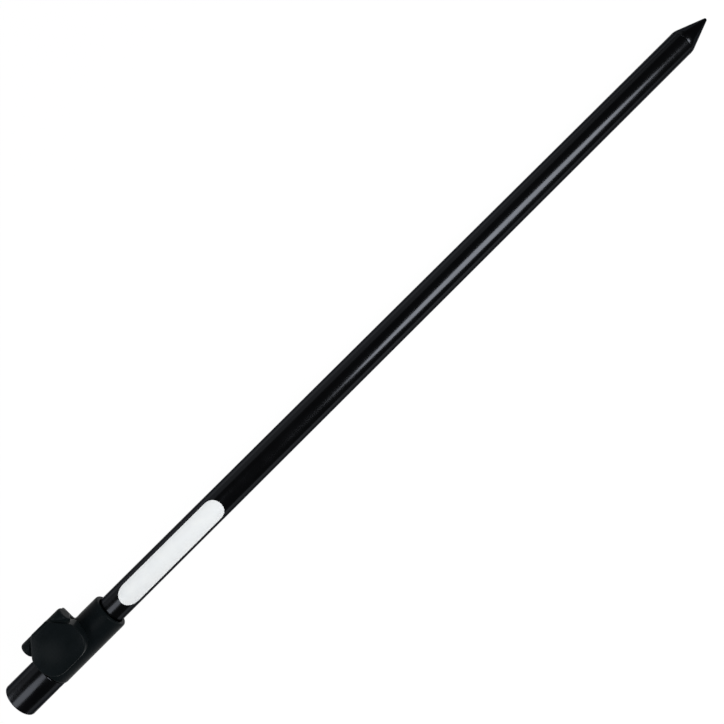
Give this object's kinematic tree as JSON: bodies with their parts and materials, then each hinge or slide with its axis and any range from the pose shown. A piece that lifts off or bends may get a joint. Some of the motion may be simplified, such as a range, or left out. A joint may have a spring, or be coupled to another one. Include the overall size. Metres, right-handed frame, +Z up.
{
  "type": "bank stick",
  "caption": "Telescopic pole that is pushed into the bank and holds a fishing rod rest or bite alarm, clamped at any length by a cam lever.",
  "frame": {"origin": "on the surface the stick lies on, under the middle of its outline", "axes": "+X along the stick from the threaded head to the ground point, +Z up, the clamp lever on top with its lugs towards +Y"},
  "size_m": [0.54, 0.0306, 0.031],
  "materials": {
    "black_anodised_aluminium": "gloss black anodised",
    "moulded_nylon_black": "satin moulded black",
    "acetal_white": "plain turned",
    "acetal_black": "plain turned",
    "stainless_steel": "bright",
    "brass": "turned",
    "label_film": "white film"
  },
  "bodies": {
    "stick": {"outer_tube": "black_anodised_aluminium", "ground_point": "black_anodised_aluminium", "label": "label_film", "clamp_collar": "moulded_nylon_black", "clamp_bush": "acetal_white", "guide_bush": "acetal_white", "collar_screw": "stainless_steel", "cam_saddle": "stainless_steel"},
    "tie": {"draw_bolt": "stainless_steel", "lever_pin": "brass", "nut_washer": "stainless_steel", "adjuster_nut": "stainless_steel"},
    "lever": {"cam_lever": "moulded_nylon_black"},
    "glide": {"glide_ring": "acetal_white"},
    "rod": {"inner_tube": "black_anodised_aluminium", "glide_plug": "acetal_black", "plug_pin": "stainless_steel", "head_cap": "black_anodised_aluminium", "thread_insert": "brass", "head_pin": "stainless_steel"}
  },
  "joints": [
    {"name": "rod_slide", "type": "slide", "parent": "stick", "child": "glide", "axis": [-1, 0, 0], "range_m": [0, 0.375]},
    {"name": "rod_turn", "type": "hinge", "parent": "glide", "child": "rod", "pos_m": [0, -0.0047, 0.0106], "axis": [1, 0, 0], "continuous": true},
    {"name": "tie_slide", "type": "slide", "parent": "stick", "child": "tie", "axis": [0, 0, -1], "range_m": [0, 0.0008]},
    {"name": "lever_hinge", "type": "hinge", "parent": "tie", "child": "lever", "pos_m": [-0.231, 0.0109, 0.0236], "axis": [-1, 0, 0], "range_deg": [0, 90]}
  ],
  "couplings": [
    {"joint": "lever_hinge", "follows": "tie_slide", "rad_per_m": 1963.5}
  ]
}
